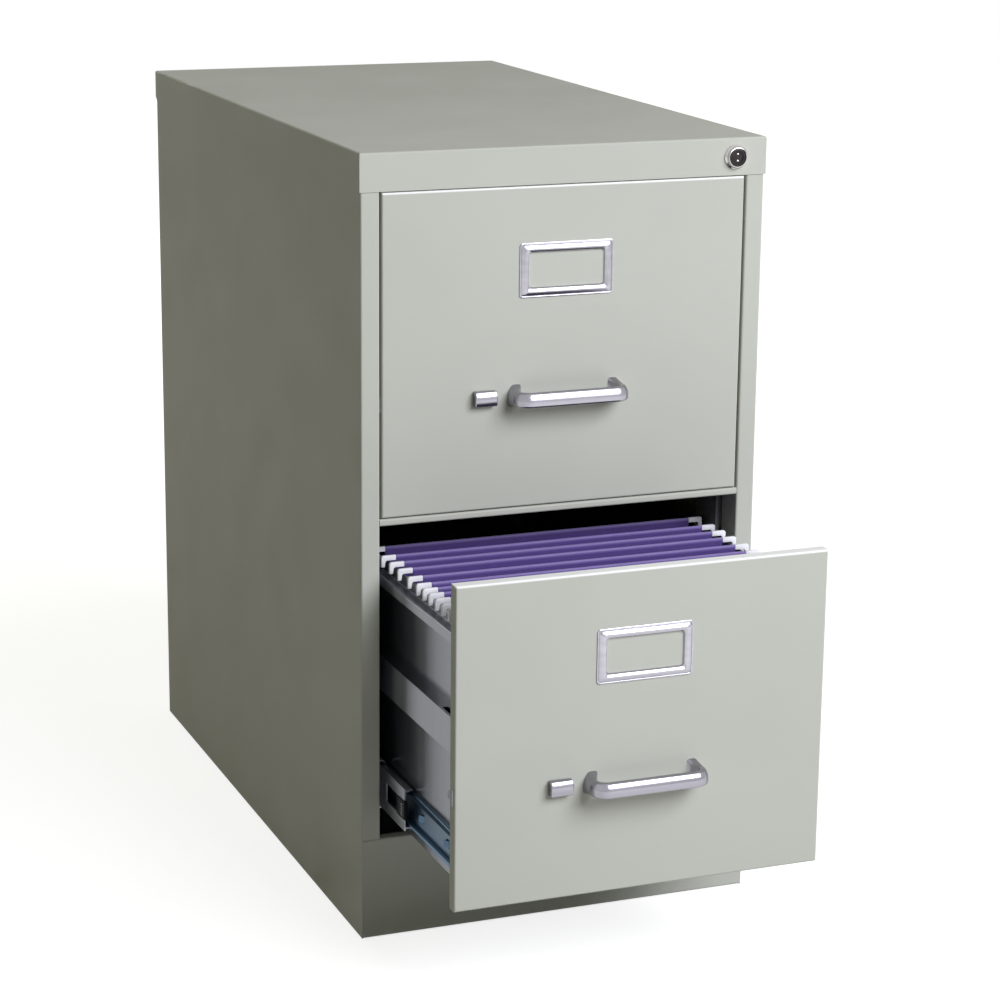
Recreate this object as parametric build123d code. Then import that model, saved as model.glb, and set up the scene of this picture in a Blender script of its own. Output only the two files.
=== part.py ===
from build123d import *
import os
from math import cos, radians, sin

os.makedirs("parts", exist_ok=True)

# Vertical filing cabinet with two drawers on ball-bearing slides. All sizes are in millimetres.
# X runs to the right, Y to the back and Z up. The origin is on the floor, under the middle of the case.
# The upper drawer stands shut and the lower one is drawn out by lower_open.

# Case
case_width = 381.0
case_depth = 673.0
case_height = 711.2
case_sheet = 1.0
bend = 0.8
cap_lip = 33.6
cap_edge = 1.8
cap_corner_cut = 8.0
stile_face = 17.2
stile_return = 29.0
base_flange = 15.0
base_flange_setback = 25.0
kick_top = 94.0
kick_flange = 11.5
kick_bottom_flange = 20.0
kick_lip = 8.0
rail_height = 6.2
rail_depth = 25.0
top_rail_depth = 20.0
back_flange = 12.0
brace_width = 60.0
brace_height = 18.0
brace_ear = 12.0
post_width = 38.0
post_foot = 10.0
post_setback = 35.5
post_end_inset = 6.0

# Drawers
front_side_gap = 2.0
front_return = 11.0
front_edge = 1.6
drawer_sheet = 0.9
front_gap = 1.0
rail_gap = 3.4
kick_gap = 1.6
drawer_depth = 648.0
lower_open = 184.0
side_bottom = 14.0
side_foot = 14.0
hanging_rail_drop = 36.2
band_drop = 83.4
band_height = 32.2
band_depth = 10.0
hanging_flange_drop = 11.1
hanging_lip = 8.0
back_height = 190.0
liner_drop = 23.2
liner_wing = 50.0
liner_wing_bottom = 70.0
liner_wing_drop = 34.0
liner_wing_cut = 8.0
floor_rib_height = 3.0
floor_rib_width = 26.0
floor_rib_pitch = 92.0
ledge_slot_length = 24.0
ledge_slot_width = 5.0
ledge_slot_start = 14.0
band_notch_depth = 3.5
band_notch_height = 20.0

# Slides
slide_height = 41.5
slide_half_height = 22.8
slide_thickness = 12.7
slide_side_gap = 3.6
slide_sheet = 1.2
ball_radius = 2.0
race_gap = 0.05
row_angle = 52.7
case_member_length = 600.0
case_member_setback = 23.5
middle_member_length = 560.0
middle_member_setback = 46.0
drawer_member_length = 600.0
drawer_member_setback = 17.5
cage_length = 250.0
outer_cage_setback = 185.5
inner_cage_setback = 205.5
cage_sheet = 0.6
cage_clearance = 0.45
balls_in_a_row = 2
ball_end_distance = 15.0
travel_share_middle = 0.5
travel_share_outer_cage = 0.25
travel_share_inner_cage = 0.75
window_start = 18.0
window_length = 30.0
window_height = 17.0
bumper_length = 16.0
bumper_depth = 8.0
bumper_proud = 3.0
bumper_height = 17.0
lance_places = [30.0, 92.0]
lance_height = 8.0
lance_length = 7.0
lance_rise = 3.4
slide_hook_half_height = 6.0
slide_hook_drop = 4.0
slide_hook_play = 0.1

# Handle, label holder and latch
handle_half_width = 54.5
handle_reach = 28.0
handle_bar_height = 13.0
handle_bar_thickness = 8.0
handle_bar_bevel = 2.2
handle_corner = 16.0
handle_height = 101.0
foot_width = 13.0
foot_height = 20.0
foot_thickness = 2.5
foot_corner = 5.0
screw_radius = 2.0
screw_head_radius = 4.0
screw_head_height = 2.6
screw_bite = 9.0
fastener_sides = 8
side_screw_bite = 6.0
side_screw_y = 47.0
side_screw_z = 87.0
label_width = 88.0
label_height = 48.0
label_window_width = 72.0
label_window_height = 33.0
label_base = 1.2
label_bead = 3.4
label_rim = 1.8
label_bevel = 1.3
label_corner = 2.0
label_drop = 73.6
label_tab = 6.0
button_centre = -76.3
button_width = 20.4
button_height = 13.5
button_reach = 8.0
button_gap = 0.3
latch_travel = 5.0
stem_width = 8.0
stem_height = 6.0
bolt_thickness = 2.0
bolt_height = 14.0
bolt_offset = 2.5
bolt_end = -64.0
bolt_nose_gap = 1.1
spring_room_offset = 45.7
spring_room_length = 26.0
spring_room_height = 8.0
spring_lug = 2.0
spring_sheet = 0.4
spring_turns = 6
spring_end_gap = 1.2
spring_side_gap = 0.2
guide_inset = 22.3
guide_width = 14.0
guide_wall = 1.2

# Lock
lock_inset = 30.0
lock_drop = 17.2
bezel_radius = 11.0
bezel_thickness = 2.0
barrel_radius = 8.5
barrel_length = 25.5
plug_radius = 6.5
plug_proud = 0.6
nut_across = 21.0
nut_thickness = 4.5
key_slot_height = 8.5
key_slot_width = 1.4
key_slot_depth = 12.0
plug_behind_barrel = 2.5
cam_plate = 1.8
cam_rim = 1.5
cam_pin_radius = 2.0
cam_pin_end = 1.0
cam_clearance = 0.35
lock_travel = 8.0
bar_sheet = 1.5
bar_inset = 15.0
bar_width = 11.7
bar_below_lug = 12.0
bar_behind_stile = 0.9
arm_half_height = 8.0
arm_end = 3.5
lug_height = 8.0
lug_side_gap = 1.0
lug_drop = 43.0
catch_height = 14.0
catch_clearance = 0.5
catch_side_gap = 1.0
catch_foot = 12.0
catch_free_height = 4.0
clip_height = 12.0
clip_wall = 0.8
clip_above_lug = 30.0
clip_below_lug = 60.0

# Hanging folders in the lower drawer
folder_side_gap = 7.0
folder_bottom = 21.0
folder_rise = 6.0
folder_fold_width = 3.0
folder_sheet = 0.6
folder_hem_width = 2.4
folder_hem_height = 9.0
folder_rods = [237.0, 208.0, 186.0, 164.0, 138.0, 116.0, 100.0, 85.0, 69.0, 53.0, 37.0, 21.0]
rod_height = 6.0
rod_width = 0.9
hook_overhang = 7.0
hook_depth = 3.0
hook_thickness = 3.2
hook_notch = 5.0
hook_lug_drop = 4.5
hook_corner = 2.0

# Running clearance of a shaft in its hole and of a part in its slot
running = 0.05
slot_clearance = 0.3

# Places that follow from the sizes above
side = case_width / 2 - case_sheet
inside = side - case_sheet
front = -case_depth / 2 + case_sheet
rear = -front
opening = side - stile_face
roof = case_height - case_sheet
cap_bottom = case_height - cap_lip
front_height = (cap_bottom - kick_top - kick_gap - rail_gap - rail_height - 2 * front_gap) / 2
upper_z = cap_bottom - front_gap - front_height
rail_top = upper_z - front_gap
rail_bottom = rail_top - rail_height
lower_z = kick_top + kick_gap
front_half_width = opening - front_side_gap
slide_outer = opening - slide_side_gap
drawer_half_width = slide_outer - slide_thickness
band_face = drawer_half_width + band_depth
hanging_rail_top = front_height - hanging_rail_drop
hanging_flange = hanging_rail_top - hanging_flange_drop
band_top = hanging_rail_top - band_drop
band_bottom = band_top - band_height
liner_top = front_height - liner_drop
liner_wing_top = liner_top - liner_wing_drop
floor_height = side_bottom + drawer_sheet
label_centre = front_height - label_drop
spring_room_start = button_centre - spring_room_offset
lock_x = case_width / 2 - lock_inset
lock_z = case_height - lock_drop
bar_inner = inside - bar_inset
bar_outer = bar_inner + bar_width
lug_tip = band_face + lug_side_gap
lug_height_in_drawer = hanging_rail_top - lug_drop
folder_half_width = drawer_half_width - folder_side_gap
folder_top = hanging_rail_top + folder_rise
hook_reach = drawer_half_width + hook_overhang
race_inner = ball_radius + race_gap
race_outer = race_inner + slide_sheet
inner_row_u = race_outer
inner_row_v = slide_half_height - race_outer - (race_inner + race_outer) * sin(radians(row_angle))
outer_row_u = inner_row_u + (race_inner + race_outer) * cos(radians(row_angle))
outer_row_v = slide_half_height - race_outer
middle_web_inner = outer_row_u + race_inner
middle_web_outer = outer_row_u + race_outer
case_web_inner = slide_thickness - slide_sheet


def block(x, y, z):
    """A box between two limits on each axis."""
    middle = ((x[0] + x[1]) / 2, (y[0] + y[1]) / 2, (z[0] + z[1]) / 2)
    return Pos(*middle) * Box(x[1] - x[0], y[1] - y[0], z[1] - z[0])


def rod(radius, y, x, z):
    """A round bar along Y."""
    return Pos(x, (y[0] + y[1]) / 2, z) * Rot(90, 0, 0) * Cylinder(radius, y[1] - y[0])


def fastener(radius, z):
    """A stretch of a small screw or rivet along Z, with a few flat sides in place of a round one."""
    return extrude(Plane((0, 0, z[0])) * RegularPolygon(radius, fastener_sides), amount=z[1] - z[0])


def run_x(section, x):
    """A section drawn in Y and Z, drawn out between two values of X."""
    return extrude(Plane((x[0], 0, 0), x_dir=(0, 1, 0), z_dir=(1, 0, 0)) * section, amount=x[1] - x[0])


def run_y(section, y):
    """A section drawn in X and Z, drawn out between two values of Y."""
    return extrude(Plane((0, y[1], 0), x_dir=(1, 0, 0), z_dir=(0, -1, 0)) * section, amount=y[1] - y[0])


def run_z(section, z):
    """A section drawn in X and Y, drawn out between two values of Z."""
    return extrude(Plane((0, 0, z[0])) * section, amount=z[1] - z[0])


def folded(path, sheet, radius=bend):
    """The section of a sheet folded along a path. The sheet lies on the right of the path."""
    points = [Vector(*point) for point in path]
    directions = [(b - a).normalized() for a, b in zip(points, points[1:])]
    sides = [Vector(d.Y, -d.X) for d in directions]
    other = [points[0] + sides[0] * sheet]
    near = []
    far = []
    for i, corner in enumerate(points[1:-1]):
        left_turn = directions[i].cross(directions[i + 1]).Z > 0
        other.append(corner + (sides[i] + sides[i + 1]) * (sheet / (1 + sides[i].dot(sides[i + 1]))))
        near.append(radius if left_turn else radius + sheet)
        far.append(radius + sheet if left_turn else radius)
    other.append(points[-1] + sides[-1] * sheet)
    if near and radius:
        edges = FilletPolyline(*points, radius=near).edges() + FilletPolyline(*other, radius=far).edges()
    else:
        edges = Polyline(*points).edges() + Polyline(*other).edges()
    ends = [Line(points[0], other[0]).edge(), Line(points[-1], other[-1]).edge()]
    return make_face(edges + ends)


def group(*shapes):
    """Separate solids kept together in one piece."""
    return Compound([solid for shape in shapes for solid in shape.solids()])


def mirrored(shape):
    """The same shape on the other side of the middle plane."""
    return mirror(shape, about=Plane.YZ)


def pair(shape):
    """A shape and its mirror image, as separate solids."""
    return group(shape, mirrored(shape))


def write(name, shape):
    """Stores one piece."""
    export_step(shape, "parts/" + name + ".step")


# Case

def side_panel():
    """Left side with its stile, folded from one sheet. The kick plate takes the stile's place below."""
    path = [(-opening, front + stile_return), (-opening, front), (-side, front), (-side, rear)]
    upper = run_z(folded(path, case_sheet), (kick_top, roof))
    lower = block((-side, -inside), (front, rear), (0, kick_top))
    foot_y = (front + base_flange_setback, rear - back_flange)
    foot = block((-inside, -inside + base_flange), foot_y, (0, case_sheet))
    return upper + lower + foot


def back_panel():
    """Back, with flanges turned forward inside the sides and one at the floor."""
    path = [(-inside, rear - back_flange), (-inside, rear), (inside, rear), (inside, rear - back_flange)]
    wall = run_z(folded(path, case_sheet, 0.0), (case_sheet, roof))
    foot = block((-inside + base_flange, inside - base_flange), (rear - back_flange, rear), (0, case_sheet))
    return wall + foot


def top_cover():
    """Cap with lips turned down over the case all round, and the hole for the lock."""
    half = case_width / 2
    reach = case_depth / 2
    outer = block((-half, half), (-reach, reach), (cap_bottom, case_height))
    outer = fillet(outer.edges().group_by(Axis.Z)[-1], cap_edge)
    cap = outer - block((-side, side), (front, rear), (cap_bottom - 1, roof))
    corner = Polyline((reach + 1, cap_bottom - 1), (reach - cap_corner_cut, cap_bottom - 1),
                      (reach + 1, cap_bottom + cap_corner_cut), close=True)
    cut = run_x(make_face(corner), (-half - 1, half + 1))
    return cap - cut - lock_hole()


def lock_hole():
    """The round hole that the lock passes through."""
    return rod(barrel_radius + running, (front - 5, front + 5), lock_x, lock_z)


def kick_plate():
    """Front of the plinth, with flanges at the top, the floor and both ends."""
    path = [(front + kick_bottom_flange, 0), (front, 0), (front, kick_top), (front + kick_flange, kick_top),
            (front + kick_flange, kick_top - kick_lip)]
    plate = run_x(folded(path, case_sheet), (-inside, inside))
    tab_y = (front + case_sheet, front + kick_flange - case_sheet)
    tab = block((-inside, -inside + case_sheet), tab_y, (case_sheet, kick_top - case_sheet))
    return plate + tab + mirrored(tab)


def channel_rail(bottom, top, depth, radius):
    """A cross rail between the stiles, folded to a channel that opens to the back."""
    path = [(front + depth, bottom), (front, bottom), (front, top), (front + depth, top)]
    return run_x(folded(path, case_sheet, radius), (-opening, opening))


def base_brace():
    """Cross channel at the floor, with ears that rest on the flanges of both sides."""
    half = brace_width / 2
    reach = inside - base_flange
    path = [(half, brace_height), (half, 0), (-half, 0), (-half, brace_height)]
    channel = run_x(folded(path, case_sheet, 0.0), (-reach, reach))
    ear_x = (-reach - brace_ear, -reach + brace_ear)
    ear_y = (-half + case_sheet, half - case_sheet)
    ear = block(ear_x, ear_y, (case_sheet, 2 * case_sheet))
    return channel + ear + mirrored(ear)


def slide_post(start):
    """Left upright between the side and the slides, folded to a hat, from the base flange to the roof."""
    web = -slide_outer - case_sheet
    end = start + post_width
    path = [(-inside, start - post_foot), (-inside, start), (web, start), (web, end), (-inside, end),
            (-inside, end + post_foot)]
    return run_z(folded(path, case_sheet, 0.0), (case_sheet, roof))


# Slides, drawn on the right of the case. u is the distance from the drawer's side, v is the height.

def strip(u, v):
    """A rectangle of a slide's section."""
    return Pos((u[0] + u[1]) / 2, (v[0] + v[1]) / 2) * Rectangle(u[1] - u[0], v[1] - v[0])


def race(centre, start, end):
    """The part of a slide's section that is rolled round a row of balls."""
    near = CenterArc(centre, race_inner, start, end - start)
    far = CenterArc(centre, race_outer, start, end - start)
    ends = [Line(near @ 0, far @ 0).edge(), Line(near @ 1, far @ 1).edge()]
    return make_face(near.edges() + far.edges() + ends)


def slide_part(upper_half, web, y):
    """Draws out a slide section: the web, and what is above the middle repeated below it."""
    section = web + upper_half + mirror(upper_half, about=Plane.XZ)
    return Pos(drawer_half_width, 0, 0) * run_y(section, y)


def case_member():
    """Fixed channel of the slide."""
    web = strip((case_web_inner, slide_thickness), (-slide_half_height, slide_half_height))
    flange = strip((outer_row_u, slide_thickness), (slide_half_height - slide_sheet, slide_half_height))
    cup = race((outer_row_u, outer_row_v), 90, 180)
    start = front + case_member_setback
    member = slide_part(flange + cup, web, (start, start + case_member_length))
    for y in post_middles():
        member = member + slide_hook(y)
    return member


def middle_member():
    """Channel between the two rows of balls, with a window behind its front end."""
    web = strip((middle_web_inner, middle_web_outer), (-outer_row_v, outer_row_v))
    cup = race((outer_row_u, outer_row_v), row_angle + 180, 360)
    lip = race((inner_row_u, inner_row_v), row_angle, 130)
    start = front + middle_member_setback
    member = slide_part(cup + lip, web, (start, start + middle_member_length))
    across = (drawer_half_width + middle_web_inner - 1, drawer_half_width + middle_web_outer + 1)
    along = (start + window_start, start + window_start + window_length)
    return member - block(across, along, (-window_height / 2, window_height / 2))


def drawer_member():
    """Channel that is fixed to the drawer, with two lanced tabs in its web."""
    web = strip((0, slide_sheet), (-inner_row_v, inner_row_v))
    cup = race((inner_row_u, inner_row_v), 180, 338)
    start = front + drawer_member_setback
    member = slide_part(cup, web, (start, start + drawer_member_length))
    for distance in lance_places:
        y = start + distance
        window = block((drawer_half_width - 1, drawer_half_width + slide_sheet + 1), (y, y + lance_length),
                       (-lance_height / 2, lance_height / 2))
        path = [(drawer_half_width, y - 1.0), (drawer_half_width, y + 0.5),
                (drawer_half_width + lance_rise, y + lance_length - 1.0)]
        tab = run_z(folded(path, slide_sheet, 0.0), (-lance_height / 2 + 1, lance_height / 2 - 1))
        member = member - window + tab
    return member


def bumper():
    """Plastic stop clipped over the front end of the middle member."""
    start = front + middle_member_setback
    inner = drawer_half_width + inner_row_u + race_outer + cage_clearance
    outer = drawer_half_width + case_web_inner - slot_clearance
    height = (-bumper_height / 2, bumper_height / 2)
    body = block((inner, outer), (start - bumper_proud, start), height)
    body = chamfer(body.edges().group_by(Axis.Y)[0], 1.0)
    stop = block((inner, drawer_half_width + middle_web_inner), (start, start + bumper_depth), height)
    cover = block((drawer_half_width + middle_web_outer, outer), (start, start + bumper_length), height)
    return body + stop + cover


def ball(u, y, v):
    """One ball of a slide, faceted and just inside its round size."""
    across = 2 * ball_radius * cos(radians(22.5))
    cube = Box(across, across, across)
    facets = cube & Rot(45, 0, 0) * cube & Rot(0, 45, 0) * cube
    return Pos(drawer_half_width + u, y, v) * facets


def cage_balls(setback, u, v):
    """The balls of one cage, in two rows."""
    start = front + setback + ball_end_distance
    pitch = (cage_length - 2 * ball_end_distance) / (balls_in_a_row - 1)
    return [ball(u, start + i * pitch, side_v) for i in range(balls_in_a_row) for side_v in (v, -v)]


def cage(setback, u, v, web, leg_end, leg_bottom):
    """Ball cage: a channel whose legs have a pocket for each ball."""
    start = front + setback
    legs = strip((leg_end, web[1]), (leg_bottom, leg_bottom + cage_sheet))
    middle = strip(web, (-leg_bottom - cage_sheet, leg_bottom + cage_sheet))
    body = slide_part(legs, middle, (start, start + cage_length))
    pitch = (cage_length - 2 * ball_end_distance) / (balls_in_a_row - 1)
    half = ball_radius + 2 * race_gap
    for i in range(balls_in_a_row):
        y = start + ball_end_distance + i * pitch
        height = v + ball_radius
        across = (drawer_half_width + leg_end - 1, drawer_half_width + u + half)
        body = body - block(across, (y - half, y + half), (-height, -v + ball_radius))
        body = body - block(across, (y - half, y + half), (v - ball_radius, height))
    return body


def outer_cage():
    """Cage between the fixed channel and the middle member."""
    web_start = middle_web_outer + cage_clearance
    leg_bottom = outer_row_v + race_gap + slot_clearance
    return cage(outer_cage_setback, outer_row_u, outer_row_v, (web_start, web_start + cage_sheet),
                outer_row_u - 1.5, leg_bottom)


def inner_cage():
    """Cage between the middle member and the drawer's channel."""
    web_end = middle_web_inner - cage_clearance
    leg_bottom = inner_row_v - cage_sheet + race_gap
    return cage(inner_cage_setback, inner_row_u, inner_row_v, (web_end - cage_sheet, web_end),
                slide_sheet + cage_clearance, leg_bottom)


def slide_hook(y):
    """Hook of the fixed channel that drops behind the web of an upright, on the right."""
    web = drawer_half_width + slide_thickness
    behind = web + case_sheet + slide_hook_play
    along = (y - slide_sheet / 2, y + slide_sheet / 2)
    neck = block((web, behind + slide_sheet), along, (-slide_hook_half_height, slide_hook_half_height))
    drop = (-slide_hook_half_height - slide_hook_drop, -slide_hook_half_height)
    return neck + block((behind, behind + slide_sheet), along, drop)


def slide_hook_slot(y):
    """Slot in an upright that the hook enters before it drops to its seat."""
    web = drawer_half_width + slide_thickness
    half = slide_sheet / 2 + slide_hook_play
    height = (-slide_hook_half_height, slide_hook_half_height + slide_hook_drop + slot_clearance)
    return block((web - 1, web + case_sheet + 1), (y - half, y + half), height)


def front_post_start():
    """Where the front uprights begin."""
    return front + post_setback


def rear_post_start():
    """Where the rear uprights begin: they end under the last stretch of the fixed channels."""
    return front + case_member_setback + case_member_length - post_width - post_end_inset


def post_middles():
    """The middles of both uprights."""
    return [front_post_start() + post_width / 2, rear_post_start() + post_width / 2]


# Drawer, drawn shut with its front face on the case's front plane and its bottom edge at Z = 0

def drawer_front():
    """Front, folded to a pan, with the holes for what is fixed to it."""
    half = front_half_width
    pan = block((-half, half), (front, front + front_return), (0, front_height))
    pan = fillet(pan.edges().group_by(Axis.Y)[0], front_edge)
    s = drawer_sheet
    pan = pan - block((-half + s, half - s), (front + s, front + front_return + 1), (s, front_height - s))
    through = (front - 1, front + s + 1)
    for x in (-handle_screw_x(), handle_screw_x()):
        pan = pan - handle_screw_hole(x)
    slot_x = (button_centre - stem_width / 2 - slot_clearance,
              button_centre + stem_width / 2 + latch_travel + slot_clearance)
    slot_half = stem_height / 2 + slot_clearance
    slot_z = (handle_height - slot_half, handle_height + slot_half)
    pan = pan - block(slot_x, through, slot_z)
    pan = pan - grown(bolt_blank(), slot_clearance)
    for tab in label_tabs():
        pan = pan - grown(tab, slot_clearance)
    return pan


def handle_screw_hole(x):
    """Hole for a screw of the handle, from behind the front to the end of its bite."""
    hole = fastener(screw_radius + running, (-drawer_sheet - screw_bite - running, 1))
    return Pos(x, front + drawer_sheet, handle_height) * Rot(-90, 0, 0) * hole


def grown(shape, clearance):
    """A box-shaped space round a flat part, larger all round by a clearance."""
    box = shape.bounding_box()
    low = box.min - Vector(clearance, clearance, clearance)
    high = box.max + Vector(clearance, clearance, clearance)
    return block((low.X, high.X), (low.Y, high.Y), (low.Z, high.Z))


def liner():
    """Inner sheet of the front, with wings that the drawer's sides are screwed to."""
    s = drawer_sheet
    back = front + front_return
    path = [(front + s, liner_top), (back, liner_top), (back, s)]
    plate = run_x(folded(path, s, 0.0), (-front_half_width + s, front_half_width - s))
    wing_x = (-drawer_half_width + s, -drawer_half_width + 2 * s)
    wing = block(wing_x, (back, back + liner_wing), (liner_wing_bottom, liner_wing_top))
    corner = wing.edges().filter_by(Axis.X).group_by(Axis.Y)[-1]
    wing = chamfer(corner, liner_wing_cut) - side_screw_hole()
    return plate + wing + mirrored(wing)


def side_screw_hole():
    """Clearance hole for the screw that joins the left side to the front's wing."""
    hole = fastener(screw_radius + running, (-side_screw_bite, 1))
    return Pos(-drawer_half_width, front + side_screw_y, side_screw_z) * Rot(0, -90, 0) * hole


def drawer_side():
    """Left side: one sheet with a foot under the floor, the outward band and the rail that folders hang on."""
    s = drawer_sheet
    wall = [(-drawer_half_width + side_foot, side_bottom), (-drawer_half_width, side_bottom),
            (-drawer_half_width, band_bottom), (-band_face, band_bottom), (-band_face, band_top),
            (-drawer_half_width, band_top), (-drawer_half_width, hanging_rail_top)]
    hanger = [(-drawer_half_width, hanging_rail_top), (-drawer_half_width, hanging_flange),
              (-band_face + s, hanging_flange), (-band_face + s, hanging_flange - hanging_lip)]
    section = folded(wall, s, 0.0) + folded(hanger, s)
    section = fillet(section.vertices().group_by(Axis.Y)[-1], s * 0.8)
    start = front + front_return
    panel = run_y(section, (start, front + drawer_depth))
    ledge_middle = -band_face + band_depth / 2
    slot_x = (ledge_middle - ledge_slot_width / 2, ledge_middle + ledge_slot_width / 2)
    slot_y = (start + ledge_slot_start, start + ledge_slot_start + ledge_slot_length)
    panel = panel - block(slot_x, slot_y, (band_top - s - 1, band_top + 1))
    notch_x = (-band_face - 1, -drawer_half_width - s)
    notch_z = (band_bottom - 1, band_bottom + band_notch_height)
    notch = block(notch_x, (start - 1, start + band_notch_depth), notch_z)
    return panel - notch - side_screw_hole()


def lock_catch():
    """Angle welded to the right side of a drawer, which the lock bar stops."""
    top = lug_height_in_drawer - catch_free_height
    y = bar_back() + catch_clearance
    height = (top - catch_height, top)
    wall = drawer_half_width
    tab = block((wall, opening - catch_side_gap), (y, y + bar_sheet), height)
    foot = block((wall, wall + bar_sheet), (y, y + catch_foot), height)
    return tab + foot


def drawer_floor():
    """Floor of the drawer, with raised ribs."""
    half = drawer_half_width - drawer_sheet - bend
    top = floor_height + drawer_sheet
    path = [(-half, top)]
    for i in (-1, 0, 1):
        centre = i * floor_rib_pitch
        path.append((centre - floor_rib_width / 2, top))
        path.append((centre - floor_rib_width / 2 + floor_rib_height, top + floor_rib_height))
        path.append((centre + floor_rib_width / 2 - floor_rib_height, top + floor_rib_height))
        path.append((centre + floor_rib_width / 2, top))
    path.append((half, top))
    sheet = folded(path, drawer_sheet, 0.0)
    return run_y(sheet, (front + front_return, front + drawer_depth - drawer_sheet))


def drawer_back():
    """Back of the drawer, with flanges turned forward inside the sides."""
    half = drawer_half_width - drawer_sheet
    end = front + drawer_depth
    path = [(-half, end - back_flange), (-half, end), (half, end), (half, end - back_flange)]
    bottom = floor_height + drawer_sheet + floor_rib_height
    return run_z(folded(path, drawer_sheet, 0.0), (bottom, back_height))


def handle_screw_x():
    """Distance of the handle's screws from the middle."""
    return handle_half_width - foot_width / 2


def handle():
    """Bow handle: a rounded bar bent forward over two feet, with a blind hole for each screw."""
    x = handle_screw_x()
    reach = front - handle_reach + handle_bar_thickness / 2
    line = FilletPolyline((-x, front, handle_height), (-x, reach, handle_height), (x, reach, handle_height),
                          (x, front, handle_height), radius=handle_corner)
    start = Plane((-x, front, handle_height), x_dir=(1, 0, 0), z_dir=(0, -1, 0))
    section = Rectangle(handle_bar_thickness, handle_bar_height)
    outside = section.vertices().group_by(Axis.X)[0]
    bow = sweep(start * chamfer(outside, handle_bar_bevel), path=line)
    foot = extrude(start * RectangleRounded(foot_width, foot_height, foot_corner), amount=foot_thickness)
    whole = bow + foot + mirrored(foot)
    for side_x in (-x, x):
        whole = whole - handle_screw_hole(side_x)
    return whole


def screw(x, z):
    """Screw of the handle, put in from behind the front."""
    shank = fastener(screw_radius, (-drawer_sheet - screw_bite, 0))
    whole = fastener(screw_head_radius, (0, screw_head_height)) + shank
    return Pos(x, front + drawer_sheet, z) * Rot(-90, 0, 0) * whole


def side_screw():
    """Screw through the left side into the front's wing."""
    whole = fastener(screw_head_radius, (0, screw_head_height)) + fastener(screw_radius, (-side_screw_bite, 0))
    return Pos(-drawer_half_width, front + side_screw_y, side_screw_z) * Rot(0, -90, 0) * whole


def label_tabs():
    """Tabs that hold the label frame through the front."""
    top = label_centre + label_height / 2 - label_rim
    tab = block((-label_tab / 2, label_tab / 2), (front, front + 3.0), (top - 1.0, top))
    across = label_width / 3
    low = Pos(0, 0, -label_height + 2 * label_rim + 1.0) * tab
    return [Pos(sign * across, 0, 0) * piece for sign in (-1, 1) for piece in (tab, low)]


def label_holder():
    """Frame for a label card: a flat rim and a raised, rounded bead round the window."""
    plane = Plane((0, front, label_centre), x_dir=(1, 0, 0), z_dir=(0, -1, 0))
    window = Rectangle(label_window_width, label_window_height)
    rim = Rectangle(label_width, label_height)
    rim = chamfer(rim.vertices(), label_corner) - window
    bead = Rectangle(label_width - 2 * label_rim, label_height - 2 * label_rim)
    bead = chamfer(bead.vertices(), label_corner)
    hole = Rectangle(label_window_width + label_rim, label_window_height + label_rim)
    frame = extrude(plane * rim, amount=label_base)
    raised = extrude(plane * (bead - hole), amount=label_bead)
    raised = chamfer(raised.edges().group_by(Axis.Y)[0], label_bevel)
    frame = frame + raised
    for tab in label_tabs():
        frame = frame + tab
    return frame


def bolt_blank():
    """Flat latch bolt inside the front, out to its nose beside the left stile."""
    y = front + drawer_sheet + bolt_offset
    height = (handle_height - bolt_height / 2, handle_height + bolt_height / 2)
    return block((-opening + bolt_nose_gap, bolt_end), (y, y + bolt_thickness), height)


def latch_bolt():
    """Latch bolt with a bevelled nose and the window that its spring works in."""
    blank = bolt_blank()
    corner = blank.edges().filter_by(Axis.Z).group_by(Axis.X)[0].sort_by(Axis.Y)[-1]
    blank = chamfer(corner, bolt_thickness * 0.75)
    room = spring_room()
    return blank - block(room[0], (front, front + front_return), room[1])


def spring_room():
    """The window in the latch bolt, in X and in Z."""
    return ((spring_room_start, spring_room_start + spring_room_length),
            (handle_height - spring_room_height / 2, handle_height + spring_room_height / 2))


def latch_button():
    """Thumb button of the latch, with the stem that joins it to the bolt."""
    x = (button_centre - button_width / 2, button_centre + button_width / 2)
    z = (handle_height - button_height / 2, handle_height + button_height / 2)
    knob = block(x, (front - button_gap - button_reach, front - button_gap), z)
    knob = fillet(knob.edges().group_by(Axis.Y)[0], 1.4)
    stem = block((button_centre - stem_width / 2, button_centre + stem_width / 2),
                 (front - button_gap, front + drawer_sheet + bolt_offset),
                 (handle_height - stem_height / 2, handle_height + stem_height / 2))
    return knob + stem


def latch_guides():
    """Two straps behind the front that the bolt slides through. One carries the lug of the spring."""
    y0 = front + drawer_sheet
    bolt = grown(bolt_blank(), slot_clearance)
    tunnel = bolt.bounding_box()
    depth = (y0, tunnel.max.Y + guide_wall)
    height = (tunnel.min.Z - guide_wall, tunnel.max.Z + guide_wall)
    middle = -opening + guide_inset
    left = block((middle - guide_width / 2, middle + guide_width / 2), depth, height) - bolt
    lug_x = (spring_room()[0][1] - spring_lug - slot_clearance, spring_room()[0][1] - slot_clearance)
    right = block((lug_x[0], lug_x[0] + guide_width), depth, height) - bolt
    lug = block(lug_x, (y0, tunnel.max.Y), (handle_height - spring_room_height / 2 + slot_clearance,
                                            handle_height + spring_room_height / 2 - slot_clearance))
    return group(left, right + lug)


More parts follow.
